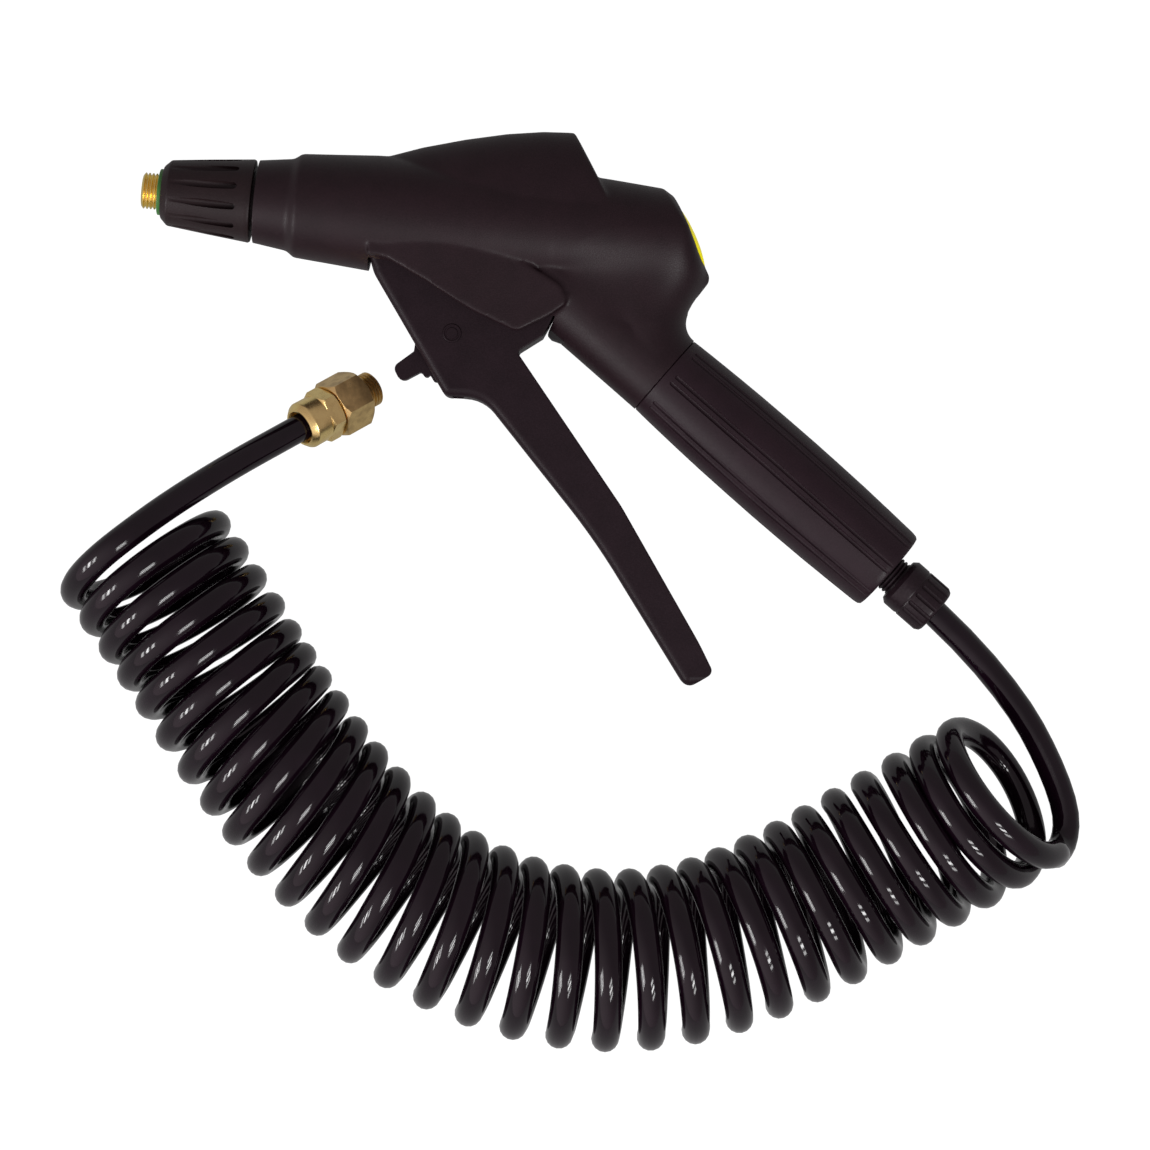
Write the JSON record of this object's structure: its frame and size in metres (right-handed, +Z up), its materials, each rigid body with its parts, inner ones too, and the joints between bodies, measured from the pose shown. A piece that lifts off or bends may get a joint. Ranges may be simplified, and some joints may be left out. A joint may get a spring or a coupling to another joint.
{
  "type": "coiled air hose",
  "caption": "Black hand spray gun with a hinged lever and brass outlet, fed through its grip by a glossy black coiled hose that ends in a brass compression fitting.",
  "frame": {"origin": "centre of the gun's footprint, on the surface that the gun and the coil lie on", "axes": "-X out of the outlet along the barrel, +Y from the lever up to the hood, +Z up, square to the gun's level mid-plane"},
  "size_m": [0.3842, 0.331, 0.0662],
  "materials": {
    "body_plastic": "fine matte texture",
    "lever_plastic": "fine matte texture",
    "knob_plastic": "fine matte texture",
    "cap_yellow": "smooth",
    "seal_green": "smooth",
    "brass_bright": "turned, bright",
    "brass_dull": "machined, slightly dull",
    "steel": "zinc-plated",
    "hose_pu": "glossy",
    "rubber_black": "matte"
  },
  "bodies": {
    "gun": {"body_shell_left": "body_plastic", "body_shell_right": "body_plastic", "rear_cap": "cap_yellow", "shell_screws": "steel", "grip_sleeve": "body_plastic", "handle_core": "knob_plastic", "gland_body": "knob_plastic", "gland_nut": "knob_plastic", "gland_ferrule": "brass_dull", "gland_hose_sleeve": "brass_dull", "nozzle_spigot": "brass_bright", "spigot_seal": "seal_green", "barrel_tube": "brass_dull", "knob_bearing": "knob_plastic", "knob_clip": "steel", "valve_body": "brass_dull", "valve_cap": "brass_dull", "valve_spring": "steel", "stem_seal": "rubber_black", "inlet_tube": "brass_dull", "trigger_pin": "steel", "stop_pad": "rubber_black", "fitting_body": "brass_dull", "union_nut": "brass_bright", "fitting_olive": "brass_dull", "fitting_hose_sleeve": "brass_dull", "hose_far_tail": "hose_pu", "hose_coil": "hose_pu", "hose_gun_tail": "hose_pu"},
    "trigger": {"trigger_lever": "lever_plastic", "latch_pin": "lever_plastic"},
    "latch": {"latch_lever": "lever_plastic"},
    "knob": {"front_knob": "knob_plastic"},
    "valve": {"valve_stem": "brass_dull", "poppet_seal": "rubber_black"}
  },
  "joints": [
    {"name": "trigger_pull", "type": "hinge", "parent": "gun", "child": "trigger", "pos_m": [-0.0625, 0.05, 0.022], "axis": [0, 0, 1], "range_deg": [0, 12]},
    {"name": "valve_lift", "type": "slide", "parent": "gun", "child": "valve", "axis": [0, 1, 0], "range_m": [0, 0.0066], "stiffness_N_per_m": 600, "springref_m": -0.012, "deforming": ["valve_spring"]},
    {"name": "latch_turn", "type": "hinge", "parent": "trigger", "child": "latch", "pos_m": [-0.036, 0.0208, 0.022], "axis": [0, 0, 1], "range_deg": [-10, 0]},
    {"name": "knob_turn", "type": "hinge", "parent": "gun", "child": "knob", "pos_m": [-0.1285, 0.062, 0.022], "axis": [1, 0, 0], "range_deg": [0, 270]}
  ],
  "couplings": [
    {"joint": "valve_lift", "follows": "trigger_pull", "m_per_rad": 0.031}
  ]
}
